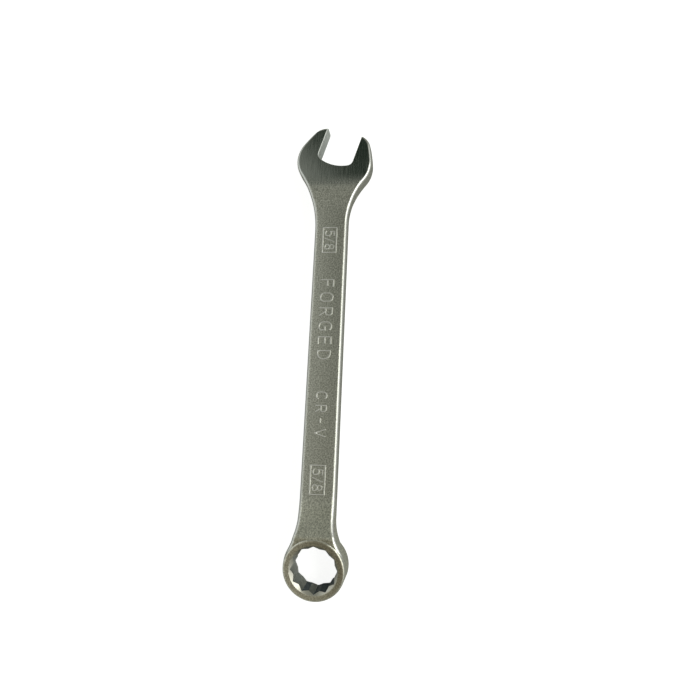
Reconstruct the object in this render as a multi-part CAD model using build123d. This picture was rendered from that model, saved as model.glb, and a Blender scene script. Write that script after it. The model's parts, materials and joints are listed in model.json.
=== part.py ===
"""Combination wrench, 5/8 inch: an open end turned from the shank and an offset 12-point box end.

The tool is one drop forging. Its frame has +X from the open end to the box end, +Z on the side with
the raised marks, and its origin at the middle of the footprint, on the surface that the tool lies on.
All lengths are in millimetres.
"""
from build123d import *
from math import cos, radians, tan
import os

# Driving dimensions.
across_flats = 16.0          # a 5/8 in nut is 15.875 across its flats, and the rest is clearance
end_spacing = 168.6          # from the box end's axis to the open end's centre
jaw_angle = 17.0             # the open end's turn from the shank, in plan
offset_angle = 15.0          # the box end's lean from the shank, seen from the side

shank_width_open = 14.0      # at the open end
shank_width_box = 14.5       # at the box end
shank_thickness = 5.2
forged_edge_radius = 1.5

head_width = 33.6            # across both jaws
jaw_arcs = ((13.0, 22.0), (79.0, 5.0), (7.0, 63.0))   # radius and turn, from the widest place outwards
cheek_radius = 12.5          # from the widest place back towards the neck
cheek_turn = 100.0
neck_radius_near = 30.0      # on the side that the jaws lean to
neck_radius_far = 48.0
throat_depth = 1.6           # how far the throat reaches behind the open end's centre
throat_radius = 16.0
throat_corner_radius = 2.8
jaw_reach = 14.6             # roughly where the jaws' tips are, from the open end's centre
jaw_tip_radius = 0.8
jaw_edge_break = 0.2

head_thickness = 6.9         # after both faces are ground flat
head_forged_thickness = 7.0  # before grinding
rise_start = 146.0           # from the box end's axis to where the shank starts to thicken
rise_length = 14.0

ring_radius = 12.1
ring_thickness = 10.4
ring_edge_radius = 1.0
ring_drop = 1.6              # how far the box end's centre is below the middle of the shank
ring_neck_radius = 24.0
ring_step = 0.4              # how far the ring's face stands above the shoulders beside it
blend_start = 22.5           # from the box end's axis to where the upper face starts to rise to the ring
blend_end = 10.8             # and to where it has reached the shoulders
blend_hollow_radius = 30.0
blend_crown_radius = 2.5
lead_in_radius = 9.6         # the countersink at each mouth of the box end
crest_radius = 8.1           # where the countersink ends inside
point_relief_radius = 0.35   # at the bottom of each of the twelve points

mark_height = 0.28
mark_stroke = 0.62           # at the foot of a stroke, which narrows upwards
mark_slope = 25.0            # of a stroke's sides from upright, in degrees
mark_root = 0.3              # how deep a stroke's foot reaches into the shank
mark_offset = -0.3           # from the middle of the shank
size_mark_places = (-132.3, -32.5)
size_mark_height = 3.8
size_mark_gap = 1.1
size_frame = (11.2, 5.8)
process_mark_place = -97.6
process_mark_height = 5.2
process_mark_gap = 2.9
steel_mark_place = -58.2
steel_mark_height = 4.2
steel_mark_gap = 2.8

# Worked out.
half_shank = shank_thickness / 2
half_jaw = across_flats / 2
reach = 60.0                 # longer than anything that a cutter has to clear
touching = 0.01              # two places this near are the same place

# Letters on a grid where a capital is 1 high: two points are a line, and three are an arc.
glyphs = {
    "5": [((0.55, 1), (0.09, 1)), ((0.09, 1), (0.04, 0.56)), ((0.04, 0.56), (0.57, 0.32), (0, 0.12))],
    "8": [
        ((0.06, 0.75), (0.3, 1), (0.54, 0.75)), ((0.06, 0.75), (0.3, 0.53), (0.54, 0.75)),
        ((0.02, 0.27), (0.3, 0.53), (0.58, 0.27)), ((0.02, 0.27), (0.3, 0), (0.58, 0.27)),
    ],
    "/": [((0, 0), (0.42, 1))],
    "-": [((0, 0.48), (0.36, 0.48))],
    "C": [
        ((0.62, 0.86), (0.34, 1), (0, 0.62)), ((0, 0.62), (0, 0.38)), ((0, 0.38), (0.34, 0), (0.62, 0.14)),
    ],
    "D": [((0, 0), (0, 1)), ((0, 1), (0.2, 1)), ((0.2, 1), (0.66, 0.5), (0.2, 0)), ((0.2, 0), (0, 0))],
    "E": [((0, 0), (0, 1)), ((0, 1), (0.56, 1)), ((0, 0.52), (0.5, 0.52)), ((0, 0), (0.56, 0))],
    "F": [((0, 0), (0, 1)), ((0, 1), (0.56, 1)), ((0, 0.52), (0.48, 0.52))],
    "G": [
        ((0.62, 0.86), (0.34, 1), (0, 0.62)), ((0, 0.62), (0, 0.38)), ((0, 0.38), (0.34, 0), (0.66, 0.2)),
        ((0.66, 0.2), (0.66, 0.48)), ((0.66, 0.48), (0.4, 0.48)),
    ],
    "O": [
        ((0, 0.62), (0.34, 1), (0.68, 0.62)), ((0.68, 0.62), (0.68, 0.38)),
        ((0.68, 0.38), (0.34, 0), (0, 0.38)), ((0, 0.38), (0, 0.62)),
    ],
    "R": [
        ((0, 0), (0, 1)), ((0, 1), (0.34, 1)), ((0.34, 1), (0.6, 0.74), (0.34, 0.48)),
        ((0.34, 0.48), (0, 0.48)), ((0.3, 0.48), (0.6, 0)),
    ],
    "V": [((0, 1), (0.33, 0)), ((0.33, 0), (0.66, 1))],
}


def nearest(shapes, x, y):
    """The vertex or edge that lies nearest a place in plan."""
    return min(shapes, key=lambda shape: (shape.center() - Vector(x, y, shape.center().Z)).length)


# Open end and shank.
def open_end_outline():
    """The open end before its opening is cut, about its own centre: +Y is the way that the jaws face."""
    widest = (head_width / 2, 0)
    start, heading = widest, (0, 1)
    jaw = []
    for radius, turn in jaw_arcs:
        arc = JernArc(start, heading, radius, turn)
        jaw.append(arc)
        start, heading = arc @ 1, arc % 1
    cheek = JernArc(widest, (0, -1), cheek_radius, -cheek_turn)
    closing = Polyline(start, (0, start.Y), (0, (cheek @ 1).Y), cheek @ 1)
    half = make_face(Curve() + jaw + cheek + closing)
    return half + mirror(half, about=Plane.YZ)


def plan_outline():
    """Open end, shank and the flare round the box end, seen from above, about the box end's axis."""
    head = Location((-end_spacing, 0), 90 - jaw_angle) * open_end_outline()
    open_half, box_half = shank_width_open / 2, shank_width_box / 2
    corners = [(-end_spacing, open_half), (0, box_half), (0, -box_half), (-end_spacing, -open_half)]
    shank = make_face(Polyline(*corners, close=True))
    near_side = Pos(-ring_radius, 0) * Rectangle(2 * ring_radius, 2 * ring_radius)
    outline = (head + shank + (Circle(ring_radius) & near_side)).clean()

    places = (
        (ring_neck_radius, (-ring_radius, box_half), (-ring_radius, -box_half)),
        (neck_radius_near, (-end_spacing + cheek_radius, open_half)),
        (neck_radius_far, (-end_spacing + cheek_radius, -open_half)),
    )
    for radius, *spots in places:
        outline = fillet([nearest(outline.vertices(), *spot) for spot in spots], radius)
    return outline


def side_profile():
    """The forging from the side: the shank's thickness, and its rise to that of the open end."""
    rise = (head_forged_thickness - shank_thickness) / 2
    foot = (-rise_start, half_shank)
    middle = (-rise_start - rise_length / 2, half_shank + rise / 2)
    top = (-rise_start - rise_length, half_shank + rise)
    hollow = TangentArc(foot, middle, tangent=(-1, 0))
    crown = TangentArc(middle, top, tangent=hollow % 1)
    far_end = -end_spacing - reach
    rest = Polyline(top, (far_end, half_shank + rise), (far_end, 0), (0, 0), (0, half_shank), foot)
    upper = make_face(Curve() + [hollow, crown, rest])
    return Plane.XZ * (upper + mirror(upper, about=Plane.XZ) + shoulder_profile())


def shoulder_profile():
    """The shank's rise and drop to the shoulders, which run just inside the ring's two faces."""
    lean = radians(offset_angle)
    across_ring = (ring_thickness / 2 - ring_step) / cos(lean)
    above, below = across_ring - ring_drop, -across_ring - ring_drop
    crest = (-blend_end, above + blend_end * tan(lean))
    foot = (-blend_start, half_shank)
    heel = ((below + half_shank) / tan(lean), -half_shank)
    tail = -rise_start + reach
    upper_side = [(tail, half_shank), foot, crest, (0, above)]
    outline = make_face(Polyline(*upper_side, (0, below), heel, (tail, -half_shank), close=True))
    outline = fillet(nearest(outline.vertices(), *crest), blend_crown_radius)
    hollows = [nearest(outline.vertices(), *corner) for corner in (foot, heel)]
    return fillet(hollows, blend_hollow_radius)


def jaw_opening():
    """The cutter for the jaws: parallel faces, and a shallow curved throat with rounded corners."""
    edge_y = throat_radius - throat_depth - (throat_radius**2 - half_jaw**2) ** 0.5
    throat = ThreePointArc((-half_jaw, edge_y), (0, -throat_depth), (half_jaw, edge_y))
    sides = Polyline((half_jaw, edge_y), (half_jaw, reach), (-half_jaw, reach), (-half_jaw, edge_y))
    outline = make_face(Curve() + [throat, sides])
    corners = [nearest(outline.vertices(), side * half_jaw, edge_y) for side in (-1, 1)]
    outline = fillet(corners, throat_corner_radius)
    placed = Location((-end_spacing, 0), 90 - jaw_angle) * outline
    return extrude(placed, reach, both=True)


def break_jaw_edges(head, opening):
    """Round the inner corners of both tips, and chamfer the edges round the opening."""
    upright = head.edges().filter_by(Axis.Z)
    turned = Location((-end_spacing, 0), 90 - jaw_angle)
    tips = [turned * Vertex(side * half_jaw, jaw_reach) for side in (-1, 1)]
    head = fillet([nearest(upright, tip.X, tip.Y) for tip in tips], jaw_tip_radius)
    rims = [
        edge for edge in head.edges()
        if abs(edge.center().Z) > head_thickness / 2 - touching
        and opening.distance_to(edge.center()) < touching
    ]
    return chamfer(rims, jaw_edge_break)


def shank_and_open_end():
    """The forged blank with rounded edges, ground flat on both faces of the open end, then opened."""
    blank = extrude(plan_outline(), reach, both=True) & extrude(side_profile(), reach, both=True)
    across = blank.edges().filter_by(Axis.Y)
    upright = blank.edges().filter_by(Axis.Z)
    rims = [edge for edge in blank.edges() if edge not in across and edge not in upright]
    blank = fillet(rims, forged_edge_radius)
    spare = Box(end_spacing, 2 * reach, reach)
    for side in (-1, 1):
        blank -= Pos(-end_spacing, 0, side * (head_thickness + reach) / 2) * spare
    opening = jaw_opening()
    return break_jaw_edges(blank - opening, opening)


# Box end.
def ring_frame():
    """The box end's own axes, leaned away from the shank."""
    return Location((0, 0, -ring_drop), (0, offset_angle, 0))


def ring_blank():
    """The box end before it is broached."""
    ring = Cylinder(ring_radius, ring_thickness)
    ring = fillet(ring.edges().filter_by(GeomType.CIRCLE), ring_edge_radius)
    return ring_frame() * ring


def socket():
    """The cutter for the box end: two crossed hexagons, with a countersink at each mouth."""
    hexagon = RegularPolygon(half_jaw, 6, major_radius=False)
    star = (hexagon + Rot(0, 0, 30) * hexagon).clean()
    points = [v for v in star.vertices() if Vector(v.X, v.Y).length > half_jaw / cos(radians(30)) - 0.1]
    star = fillet(points, point_relief_radius)
    cutter = extrude(star, ring_thickness, both=True)
    depth = lead_in_radius - crest_radius
    mouth = Cone(crest_radius, lead_in_radius + depth, 2 * depth)
    top_mouth = Pos(0, 0, ring_thickness / 2) * mouth
    return ring_frame() * (cutter + top_mouth + mirror(top_mouth, about=Plane.XY))


# Raised marks.
def stroke(points):
    """One round-ended stroke with sloping sides, standing on the shank's face and rooted in it."""
    path = Line(*points) if len(points) == 2 else ThreePointArc(*points)
    foot = SlotArc(path, mark_stroke)
    raised = extrude(foot, mark_height, taper=mark_slope)
    return Pos(0, 0, half_shank) * (raised + extrude(foot, -mark_root))


def lettering(text, height, gap, place):
    """The strokes of a word that reads along the shank, centred at its place."""
    strokes = []
    pen = 0
    for letter in text:
        for points in glyphs[letter]:
            strokes.append([(pen + x * height, y * height) for x, y in points])
        pen = max(x for points in strokes for x, _ in points) + gap
    left, foot = place - (pen - gap) / 2, mark_offset - height / 2
    return [stroke([(left + x, foot + y) for x, y in points]) for points in strokes]


def size_mark(place):
    """The nut size in a plain frame."""
    half_length, half_width = (size / 2 for size in size_frame)
    corners = [
        (place + x * half_length, mark_offset + y * half_width)
        for x, y in ((-1, -1), (1, -1), (1, 1), (-1, 1))
    ]
    border = [stroke([corners[i - 1], corners[i]]) for i in range(4)]
    return border + lettering("5/8", size_mark_height, size_mark_gap, place)


def raised_marks():
    """The size at each end in its frame, and the process and the steel between them."""
    marks = [mark for place in size_mark_places for mark in size_mark(place)]
    marks += lettering("FORGED", process_mark_height, process_mark_gap, process_mark_place)
    marks += lettering("CR-V", steel_mark_height, steel_mark_gap, steel_mark_place)
    return marks


def wrench():
    """The whole forging about the box end's axis, with the middle of the shank at Z = 0."""
    body = shank_and_open_end() + ring_blank()
    body -= socket()
    return body + raised_marks()


if __name__ == "__main__":
    os.makedirs("parts", exist_ok=True)
    forging = wrench()
    box = forging.bounding_box()
    ground = Vector(box.center().X, box.center().Y, box.min.Z)
    forging = Pos(*-ground) * forging
    export_step(forging, "parts/wrench_forging.step")
    print("size", forging.bounding_box().size)
    print("box end's axis at", -ground.X, -ground.Y, "and the middle of the shank at", -ground.Z)
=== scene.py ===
import bpy
import json
from mathutils import Matrix, Vector

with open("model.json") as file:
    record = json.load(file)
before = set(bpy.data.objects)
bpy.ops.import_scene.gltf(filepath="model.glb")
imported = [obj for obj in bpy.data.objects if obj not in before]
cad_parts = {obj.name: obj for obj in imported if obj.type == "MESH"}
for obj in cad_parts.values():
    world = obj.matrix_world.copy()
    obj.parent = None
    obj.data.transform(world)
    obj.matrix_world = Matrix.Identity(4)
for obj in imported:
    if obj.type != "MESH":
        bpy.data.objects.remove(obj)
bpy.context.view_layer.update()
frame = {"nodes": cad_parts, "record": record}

scene = bpy.context.scene
bpy.ops.object.select_all(action="DESELECT")
forging = frame["nodes"]["wrench_forging"]

mm = 0.001
# where the working features are, in mm from the origin
mounts = {mount["name"]: mount for mount in frame["record"]["mounts"]}
socketMount = mounts["box_end_socket"]
boxEnd = Vector(socketMount["pos_m"]) / mm
boxAxis = Vector(socketMount["axis"])
nearJaw = Vector(mounts["open_end_jaw_near"]["pos_m"]) / mm
farJaw = Vector(mounts["open_end_jaw_far"]["pos_m"]) / mm
jawMiddle = (nearJaw + farJaw) / 2
acrossJaws = (nearJaw - farJaw).normalized()
outOfJaws = Vector((-acrossJaws.y, acrossJaws.x, 0))
halfJaw = (nearJaw - farJaw).length / 2
midPlane = nearJaw.z                  # half way up the shank

# high above the box end, a little to the side that the jaws lean to
cameraSet = {
    "name": "studioCamera",
    "place": Vector((boxEnd.x, boxEnd.y, midPlane)) * mm + Vector((-0.0271, 0.0514, 0.2534)),
    "aim": Vector((-0.2204, -0.1572, -0.9627)),
    "up": Vector((-0.9746, -0.0055, 0.2240)),
    "lens": 33.07,
    "sensor": 36,
    "nearest": 0.01,                  # m, what is closer than this is not seen
}


def addCamera(look):
    forward = look["aim"].normalized()
    right = forward.cross(look["up"]).normalized()
    up = right.cross(forward)
    turn = Matrix((right, up, -forward)).transposed().to_4x4()
    bpy.ops.object.camera_add()
    camera = bpy.context.object
    camera.name = look["name"]
    camera.matrix_world = Matrix.Translation(look["place"]) @ turn
    camera.data.lens = look["lens"]
    camera.data.sensor_width = look["sensor"]
    camera.data.clip_start = look["nearest"]
    scene.camera = camera
    print("camera placed")


# inputs go by their name, or by i and their number
def addNode(tree, kind, settings=None, **values):
    node = tree.nodes.new(kind)
    for name, value in (settings or {}).items():
        setattr(node, name, value)
    for name, value in values.items():
        numbered = name[0] == "i" and name[1:].isdigit()
        socket = node.inputs[int(name[1:]) if numbered else name]
        if isinstance(value, bpy.types.NodeSocket):
            tree.links.new(value, socket)
        else:
            socket.default_value = value
    return node


def calc(tree, operation, a, b=0.0):
    return addNode(tree, "ShaderNodeMath", {"operation": operation}, i0=a, i1=b).outputs[0]


def product(tree, first, *others):
    result = first
    for other in others:
        result = calc(tree, "MULTIPLY", result, other)
    return result


def vector(tree, operation, a, b=(0, 0, 0)):
    node = addNode(tree, "ShaderNodeVectorMath", {"operation": operation}, i0=a, i1=b)
    return node.outputs["Value" if operation == "DOT_PRODUCT" else "Vector"]


def scaled(tree, a, factor):
    node = addNode(tree, "ShaderNodeVectorMath", {"operation": "SCALE"}, i0=a, Scale=factor)
    return node.outputs["Vector"]


def separate(tree, a):
    return addNode(tree, "ShaderNodeSeparateXYZ", i0=a).outputs


# 0 up to the first value and 1 from the second, which may be the lower one
def ramp(tree, value, start, end, kind="SMOOTHSTEP"):
    rising = start < end
    low, high = (start, end) if rising else (end, start)
    node = addNode(tree, "ShaderNodeMapRange", {"interpolation_type": kind}, i0=value)
    node.inputs["From Min"].default_value = low
    node.inputs["From Max"].default_value = high
    node.inputs["To Min"].default_value = 0 if rising else 1
    node.inputs["To Max"].default_value = 1 if rising else 0
    return node.outputs[0]


def mixColor(tree, factor, a, b, blend="MIX"):
    settings = {"data_type": "RGBA", "blend_type": blend}
    return addNode(tree, "ShaderNodeMix", settings, i0=factor, i6=a, i7=b).outputs[2]


def mixValue(tree, factor, a, b):
    return addNode(tree, "ShaderNodeMix", {"data_type": "FLOAT"}, i0=factor, i2=a, i3=b).outputs[0]


def noise(tree, place, scale, look):
    return addNode(tree, "ShaderNodeTexNoise", i2=scale, Vector=place, Detail=look["detail"],
                   Roughness=look["roughness"]).outputs["Fac"]


floorSet = {
    "size": 4.0,                      # m
    "color": (0.52, 0.53, 0.52, 1),
    "roughness": 0.9,
    "glow": 0.85,                     # added where the camera sees the floor itself
}


def addFloor():
    bpy.ops.mesh.primitive_plane_add(size=floorSet["size"])
    floor = bpy.context.object
    floor.name = "floor"
    paint = bpy.data.materials.new("paleFloor")
    paint.use_nodes = True
    tree = paint.node_tree
    shader = tree.nodes["Principled BSDF"]
    shader.inputs["Base Color"].default_value = floorSet["color"]
    shader.inputs["Roughness"].default_value = floorSet["roughness"]
    shader.inputs["Emission Color"].default_value = (1, 1, 1, 1)
    seen = addNode(tree, "ShaderNodeLightPath").outputs["Is Camera Ray"]
    tree.links.new(product(tree, seen, floorSet["glow"]), shader.inputs["Emission Strength"])
    floor.data.materials.append(paint)
    print("floor laid")


room = {
    "backdrop": (0.93, 0.93, 0.92, 1),           # what the camera sees beyond the floor
    # the light falls off from the far side to the side that the jaws lean to
    "farColor": (0.53, 0.54, 0.505, 1),
    "nearColor": (0.21, 0.215, 0.185, 1),
    "fallOff": (-0.60, 0.22),
    # a long softbox on the near side: where it starts and is full, sideways and upwards
    "softboxSide": (0.40, 0.80),
    "softboxHeight": (-0.02, 0.16),
    "softboxColor": (0.95, 0.96, 0.93, 1),
    # a dark stripe: the way across it, then where it starts, is full, ends and is gone
    "stripeAcross": (-0.70, 0.714, 0),
    "stripe": (0.15, 0.218, 0.31, 0.39),
    "stripeColor": (0.006, 0.018, 0.009, 1),
    # soft patches: direction, where one is full and where it ends (cosines), colour
    "patches": (
        ((0.60, -0.20, 0.78), 0.95, 0.75, (0.20, 0.185, 0.14, 1)),
        ((-0.20, -0.93, 0.30), 0.95, 0.70, (0.80, 0.82, 0.81, 1)),
    ),
}


def addRoom():
    world = bpy.data.worlds.new("studioRoom")
    world.use_nodes = True
    tree = world.node_tree
    direction = addNode(tree, "ShaderNodeTexCoord").outputs["Generated"]
    side, height = separate(tree, direction)[1:]
    falling = ramp(tree, side, *room["fallOff"], "LINEAR")
    color = mixColor(tree, falling, room["farColor"], room["nearColor"])
    for axis, full, none, patchColor in room["patches"]:
        facing = vector(tree, "DOT_PRODUCT", direction, Vector(axis).normalized())
        color = mixColor(tree, ramp(tree, facing, none, full), color, patchColor)
    across = vector(tree, "DOT_PRODUCT", direction, room["stripeAcross"])
    start, full, end, gone = room["stripe"]
    stripe = product(tree, ramp(tree, across, start, full), ramp(tree, across, gone, end))
    color = mixColor(tree, stripe, color, room["stripeColor"])
    softbox = product(tree, ramp(tree, side, *room["softboxSide"]),
                      ramp(tree, height, *room["softboxHeight"]))
    color = mixColor(tree, softbox, color, room["softboxColor"])
    seen = addNode(tree, "ShaderNodeLightPath").outputs["Is Camera Ray"]
    color = mixColor(tree, seen, color, room["backdrop"])
    tree.links.new(color, tree.nodes["Background"].inputs["Color"])
    scene.world = world
    print("room coloured")


panel = {
    "name": "rightPanel",
    "place": (0, 560, 520),           # mm from the wrench's middle
    "size": (900, 400),               # mm
    "watts": 2.4,
    "color": (1, 1, 0.97),
}


def addPanel(look):
    target = Vector((0, 0, midPlane * mm))
    bpy.ops.object.light_add(type="AREA")
    light = bpy.context.object
    light.name = look["name"]
    light.data.shape = "RECTANGLE"
    light.data.size, light.data.size_y = (length * mm for length in look["size"])
    light.data.energy = look["watts"]
    light.data.color = look["color"]
    spot = target + Vector(look["place"]) * mm
    turn = (target - spot).to_track_quat("-Z", "Y").to_matrix().to_4x4()
    light.matrix_world = Matrix.Translation(spot) @ turn
    print("panel lit")


ring = {"halfThickness": 5.2, "mouthRadius": 9.6, "outerRadius": 12.1}      # mm
steel = {
    "satin": {"color": (0.71, 0.715, 0.635, 1), "dark": (0.33, 0.335, 0.285, 1), "roughness": 0.34},
    "ground": {"color": (0.57, 0.60, 0.56, 1), "dark": (0.44, 0.46, 0.43, 1), "roughness": 0.10},
    "wall": {"color": (0.93, 0.97, 0.94, 1), "roughness": 0.30},            # inside the jaws
    # the socket's walls come in a lit and a shaded copy, painted by which way each wall faces
    # (painted reflection and shade)
    "socket": {"color": (0.82, 0.84, 0.78, 1), "dark": (0.12, 0.16, 0.19, 1), "roughness": 0.14},
    "mouth": {"color": (0.62, 0.61, 0.53, 1), "roughness": 0.36},           # the countersinks
    "ringFace": {"color": (0.43, 0.41, 0.33, 1), "paler": (0.74, 0.73, 0.64, 1), "roughness": 0.42},
    "mark": {"color": (0.97, 0.97, 0.94, 1), "roughness": 0.34},            # raised tops, painted lighter: partly wear, partly a painted highlight where light catches them
    "edge": {"color": (0.66, 0.67, 0.63, 1), "roughness": 0.26},
    "flareTint": (1.22, 1.21, 1.16, 1),          # the flare beside the ring is lighter
    "mottle": ((0.72, 0.70, 0.66, 1), (1.25, 1.25, 1.2, 1)),                # on the ring's face
    "ringPalerWay": (0.6, -0.8, 0),                   # the ring's face is lighter towards this way
    "paintedLightWay": (-0.26, 0.97, 0),               # broached walls that face this way are painted lighter and the others darker: a painted reflection
    "grain": {"detail": 3.0, "roughness": 0.7, "size": 0.55, "depth": 0.05},            # mm
    "grainOnEdges": 0.3,                         # of its depth elsewhere
    "brush": {"detail": 3.0, "roughness": 0.6, "width": 0.22, "length": 9.0, "depth": 0.002},
    "brushSkew": (0.83, 0.41),                   # keeps the lines' pattern free of steps
    "cloud": {"detail": 3.0, "roughness": 0.5, "perMm": 0.09},
    "cloudGloss": 0.06,                          # added to the roughness
    "brushGloss": 0.08,
    "crownRadius": 60.0,                         # of the shank's faintly domed faces, mm
    "crownHalf": 7.2,                            # half the domed width, mm
}
# where each finish starts and is full, in mm unless noted; "along" is from the box end's axis, and
# "up" is the upright part of the normal
zones = {
    "groundHeight": (3.25, 3.42),
    "groundAlong": (-154.2, -163.2),
    "jawAcross": (halfJaw + 0.3, halfJaw + 0.15),
    "jawOutward": (-9.9, -9.7),
    "jawUp": (0.6, 0.4),
    "socketRadius": (ring["mouthRadius"] + 0.15, ring["mouthRadius"]),
    "mouthDepth": (-0.15, -0.05),                # from the countersink's cone
    "ringRadius": (ring["outerRadius"] + 0.2, ring["outerRadius"]),
    "ringDepth": (-0.25, -0.05),                 # from the ring's face
    "markAlong": ((-143.2, -141.2), (-26.0, -26.3)),
    "markHeight": (2.62, 2.70),
    "edgeUp": ((0.25, 0.55), (0.97, 0.85)),
    "edgeRadius": (11.0, 12.6),
    "flareAlong": (-28.2, -18.2),
    "crownAlong": ((-158.2, -134.2), (-8.2, -28.2)),
    "ringPaling": (-9, 10),
    "paintedLightFacing": (0.15, 0.95),                  # cosines
    "grainTone": (0.34, 0.66),                   # of the noise's range
    "brushTone": (0.30, 0.66),
}


# 1 between two limits, each given as where the ramp starts and where it is full
def band(tree, value, limits):
    return product(tree, *(ramp(tree, value, *limit) for limit in limits))


# where each finish is, from the place and the normal in the forging's own frame
def finishMasks(tree, place, normal, along, height):
    up = calc(tree, "ABSOLUTE", separate(tree, normal)[2])
    ground = product(tree, ramp(tree, calc(tree, "ABSOLUTE", height), *zones["groundHeight"]),
                     ramp(tree, along, *zones["groundAlong"]))
    # the marks' raised tops, painted lighter: partly a painted highlight
    mark = product(tree, ramp(tree, height, *zones["markHeight"]),
                   band(tree, along, zones["markAlong"]))

    fromJaws = vector(tree, "SUBTRACT", place, jawMiddle)
    across = calc(tree, "ABSOLUTE", vector(tree, "DOT_PRODUCT", fromJaws, acrossJaws))
    outward = vector(tree, "DOT_PRODUCT", fromJaws, outOfJaws)
    wall = product(tree, ramp(tree, across, *zones["jawAcross"]),
                   ramp(tree, outward, *zones["jawOutward"]), ramp(tree, up, *zones["jawUp"]))

    fromRing = vector(tree, "SUBTRACT", place, boxEnd)
    axial = vector(tree, "DOT_PRODUCT", fromRing, boxAxis)
    squares = vector(tree, "DOT_PRODUCT", fromRing, fromRing)
    radius = calc(tree, "SQRT", calc(tree, "SUBTRACT", squares, product(tree, axial, axial)))
    axial = calc(tree, "ABSOLUTE", axial)
    socket = ramp(tree, radius, *zones["socketRadius"])
    belowFace = calc(tree, "SUBTRACT", axial, ring["halfThickness"])
    fromCone = calc(tree, "ADD", calc(tree, "SUBTRACT", belowFace, radius), ring["mouthRadius"])
    mouth = product(tree, socket, ramp(tree, fromCone, *zones["mouthDepth"]))
    ringFace = product(tree, ramp(tree, radius, *zones["ringRadius"]),
                       ramp(tree, belowFace, *zones["ringDepth"]))
    edge = product(tree, band(tree, up, zones["edgeUp"]), ramp(tree, radius, *zones["edgeRadius"]))
    # later ones cover earlier ones
    return {"edge": edge, "socket": socket, "mouth": mouth, "ringFace": ringFace,
            "ground": ground, "wall": wall, "mark": mark}


def makeSteel():
    material = bpy.data.materials.new("platedSteel")
    material.use_nodes = True
    tree = material.node_tree
    coordinates = addNode(tree, "ShaderNodeTexCoord")
    normal = coordinates.outputs["Normal"]
    place = scaled(tree, coordinates.outputs["Object"], 1 / mm)
    x, y, z = separate(tree, place)
    along = calc(tree, "SUBTRACT", x, boxEnd.x)
    masks = finishMasks(tree, place, normal, along, calc(tree, "SUBTRACT", z, midPlane))

    grain = noise(tree, place, 1 / steel["grain"]["size"], steel["grain"])
    # fine lines along the shank
    lineX = vector(tree, "DOT_PRODUCT", place, (1 / steel["brush"]["length"], *steel["brushSkew"]))
    lineY, lineZ = separate(tree, scaled(tree, place, 1 / steel["brush"]["width"]))[1:]
    brushPlace = addNode(tree, "ShaderNodeCombineXYZ", i0=lineX, i1=lineY, i2=lineZ).outputs[0]
    brush = noise(tree, brushPlace, 1.0, steel["brush"])
    cloud = noise(tree, place, steel["cloud"]["perMm"], steel["cloud"])
    grainTone = ramp(tree, grain, *zones["grainTone"])
    brushTone = ramp(tree, brush, *zones["brushTone"])

    color = mixColor(tree, grainTone, steel["satin"]["dark"], steel["satin"]["color"])
    flare = ramp(tree, along, *zones["flareAlong"])
    tint = mixColor(tree, flare, (1, 1, 1, 1), steel["flareTint"])
    color = mixColor(tree, 1.0, color, tint, "MULTIPLY")
    rough = calc(tree, "ADD", steel["satin"]["roughness"], product(tree, cloud, steel["cloudGloss"]))

    groundColor = mixColor(tree, brushTone, steel["ground"]["dark"], steel["ground"]["color"])
    groundRough = calc(tree, "ADD", steel["ground"]["roughness"],
                       product(tree, brushTone, steel["brushGloss"]))
    fromRing = vector(tree, "SUBTRACT", place, boxEnd)
    # the ring's face grows lighter towards one side
    paler = ramp(tree, vector(tree, "DOT_PRODUCT", fromRing, steel["ringPalerWay"]), *zones["ringPaling"])
    ringColor = mixColor(tree, paler, steel["ringFace"]["color"], steel["ringFace"]["paler"])
    mottle = mixColor(tree, grainTone, *steel["mottle"])
    ringColor = mixColor(tree, 1.0, ringColor, mottle, "MULTIPLY")
    # painted reflection: socket walls facing one way are painted lighter, the rest darker
    facing = vector(tree, "DOT_PRODUCT", normal, steel["paintedLightWay"])
    paintedLight = ramp(tree, facing, *zones["paintedLightFacing"])
    socketColor = mixColor(tree, paintedLight, steel["socket"]["dark"], steel["socket"]["color"])

    mixedColors = {"ground": groundColor, "ringFace": ringColor, "socket": socketColor}
    for name, mask in masks.items():
        gloss = groundRough if name == "ground" else steel[name]["roughness"]
        color = mixColor(tree, mask, color, mixedColors.get(name, steel[name]["color"]))
        rough = mixValue(tree, mask, rough, gloss)

    fromLine = calc(tree, "MINIMUM", calc(tree, "ABSOLUTE", y), steel["crownHalf"])
    crown = calc(tree, "DIVIDE", product(tree, fromLine, fromLine), -2 * steel["crownRadius"])
    crown = product(tree, crown, band(tree, along, zones["crownAlong"]))
    grainHeight = product(tree, grain, steel["grain"]["depth"],
                          mixValue(tree, masks["edge"], 1.0, steel["grainOnEdges"]))
    brushHeight = product(tree, brush, steel["brush"]["depth"])
    smooth = masks["ground"]
    for name in ("wall", "socket"):
        smooth = calc(tree, "MAXIMUM", smooth, masks[name])
    relief = calc(tree, "ADD", crown, mixValue(tree, smooth, grainHeight, brushHeight))
    bump = addNode(tree, "ShaderNodeBump", Height=relief, Distance=mm, Strength=1.0)

    shader = tree.nodes["Principled BSDF"]
    shader.inputs["Metallic"].default_value = 1
    tree.links.new(color, shader.inputs["Base Color"])
    tree.links.new(rough, shader.inputs["Roughness"])
    tree.links.new(bump.outputs["Normal"], shader.inputs["Normal"])
    return material


def finishForging():
    forging.material_slots[0].link = "OBJECT"
    forging.material_slots[0].material = makeSteel()
    print("steel finished")


addCamera(cameraSet)
addFloor()
addRoom()
addPanel(panel)
scene.view_settings.view_transform = "Standard"
finishForging()
